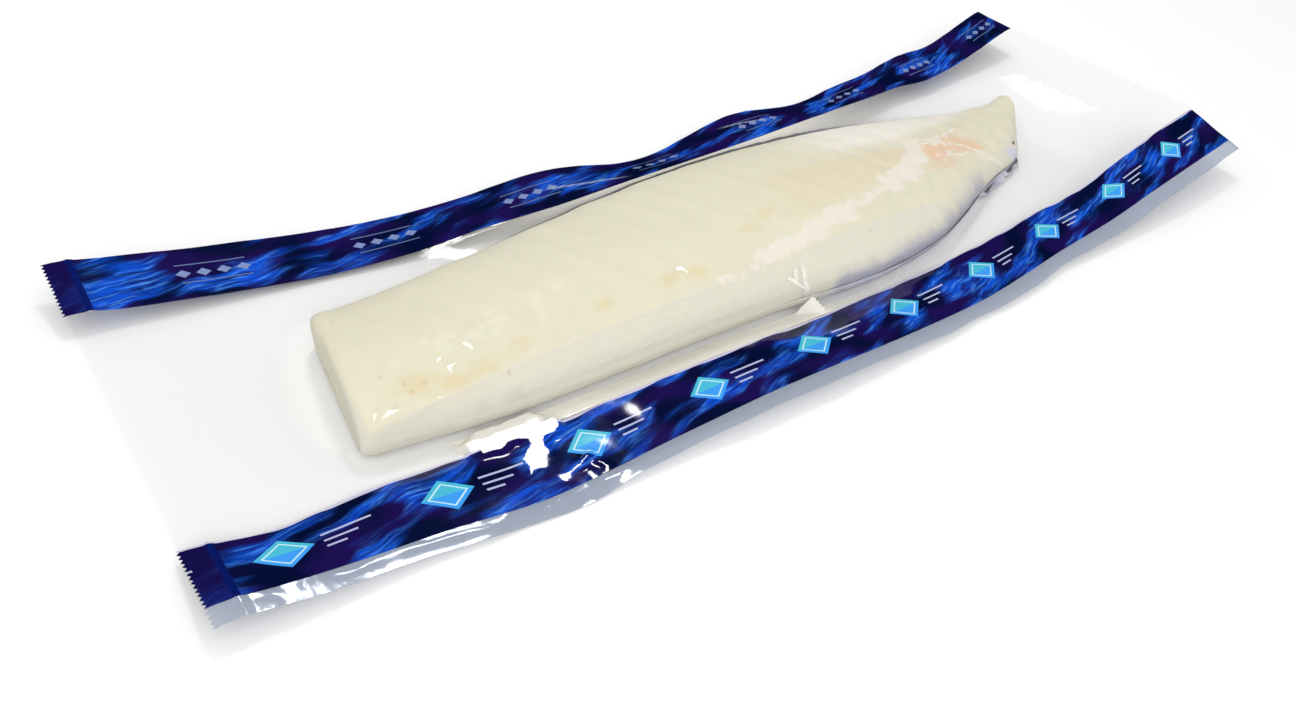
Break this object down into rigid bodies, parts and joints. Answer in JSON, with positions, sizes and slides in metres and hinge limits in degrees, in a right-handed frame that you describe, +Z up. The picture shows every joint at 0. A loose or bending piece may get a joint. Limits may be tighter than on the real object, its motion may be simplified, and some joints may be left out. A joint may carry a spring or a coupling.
{
  "type": "vacuum-packed cod loin",
  "caption": "Skin-on cod loin lying skin side down, vacuum packed in a long flat pouch of clear film with a dark blue printed band along each long side.",
  "frame": {"origin": "on the surface that the pouch lies on, under the middle of the pouch", "axes": "+X along the pouch towards the loin's tail end, +Y towards the band without a clear margin, +Z up"},
  "size_m": [0.5998, 0.2168, 0.0304],
  "materials": {
    "cod_flesh": "moist pale cream flesh",
    "cod_skin": "wet silver grey skin",
    "clear_film": "clear glossy film",
    "printed_film": "glossy dark blue print behind film"
  },
  "bodies": {
    "root": {"cod_loin": "cod_flesh", "fish_skin": "cod_skin", "film_pouch": "clear_film"}
  },
  "joints": []
}
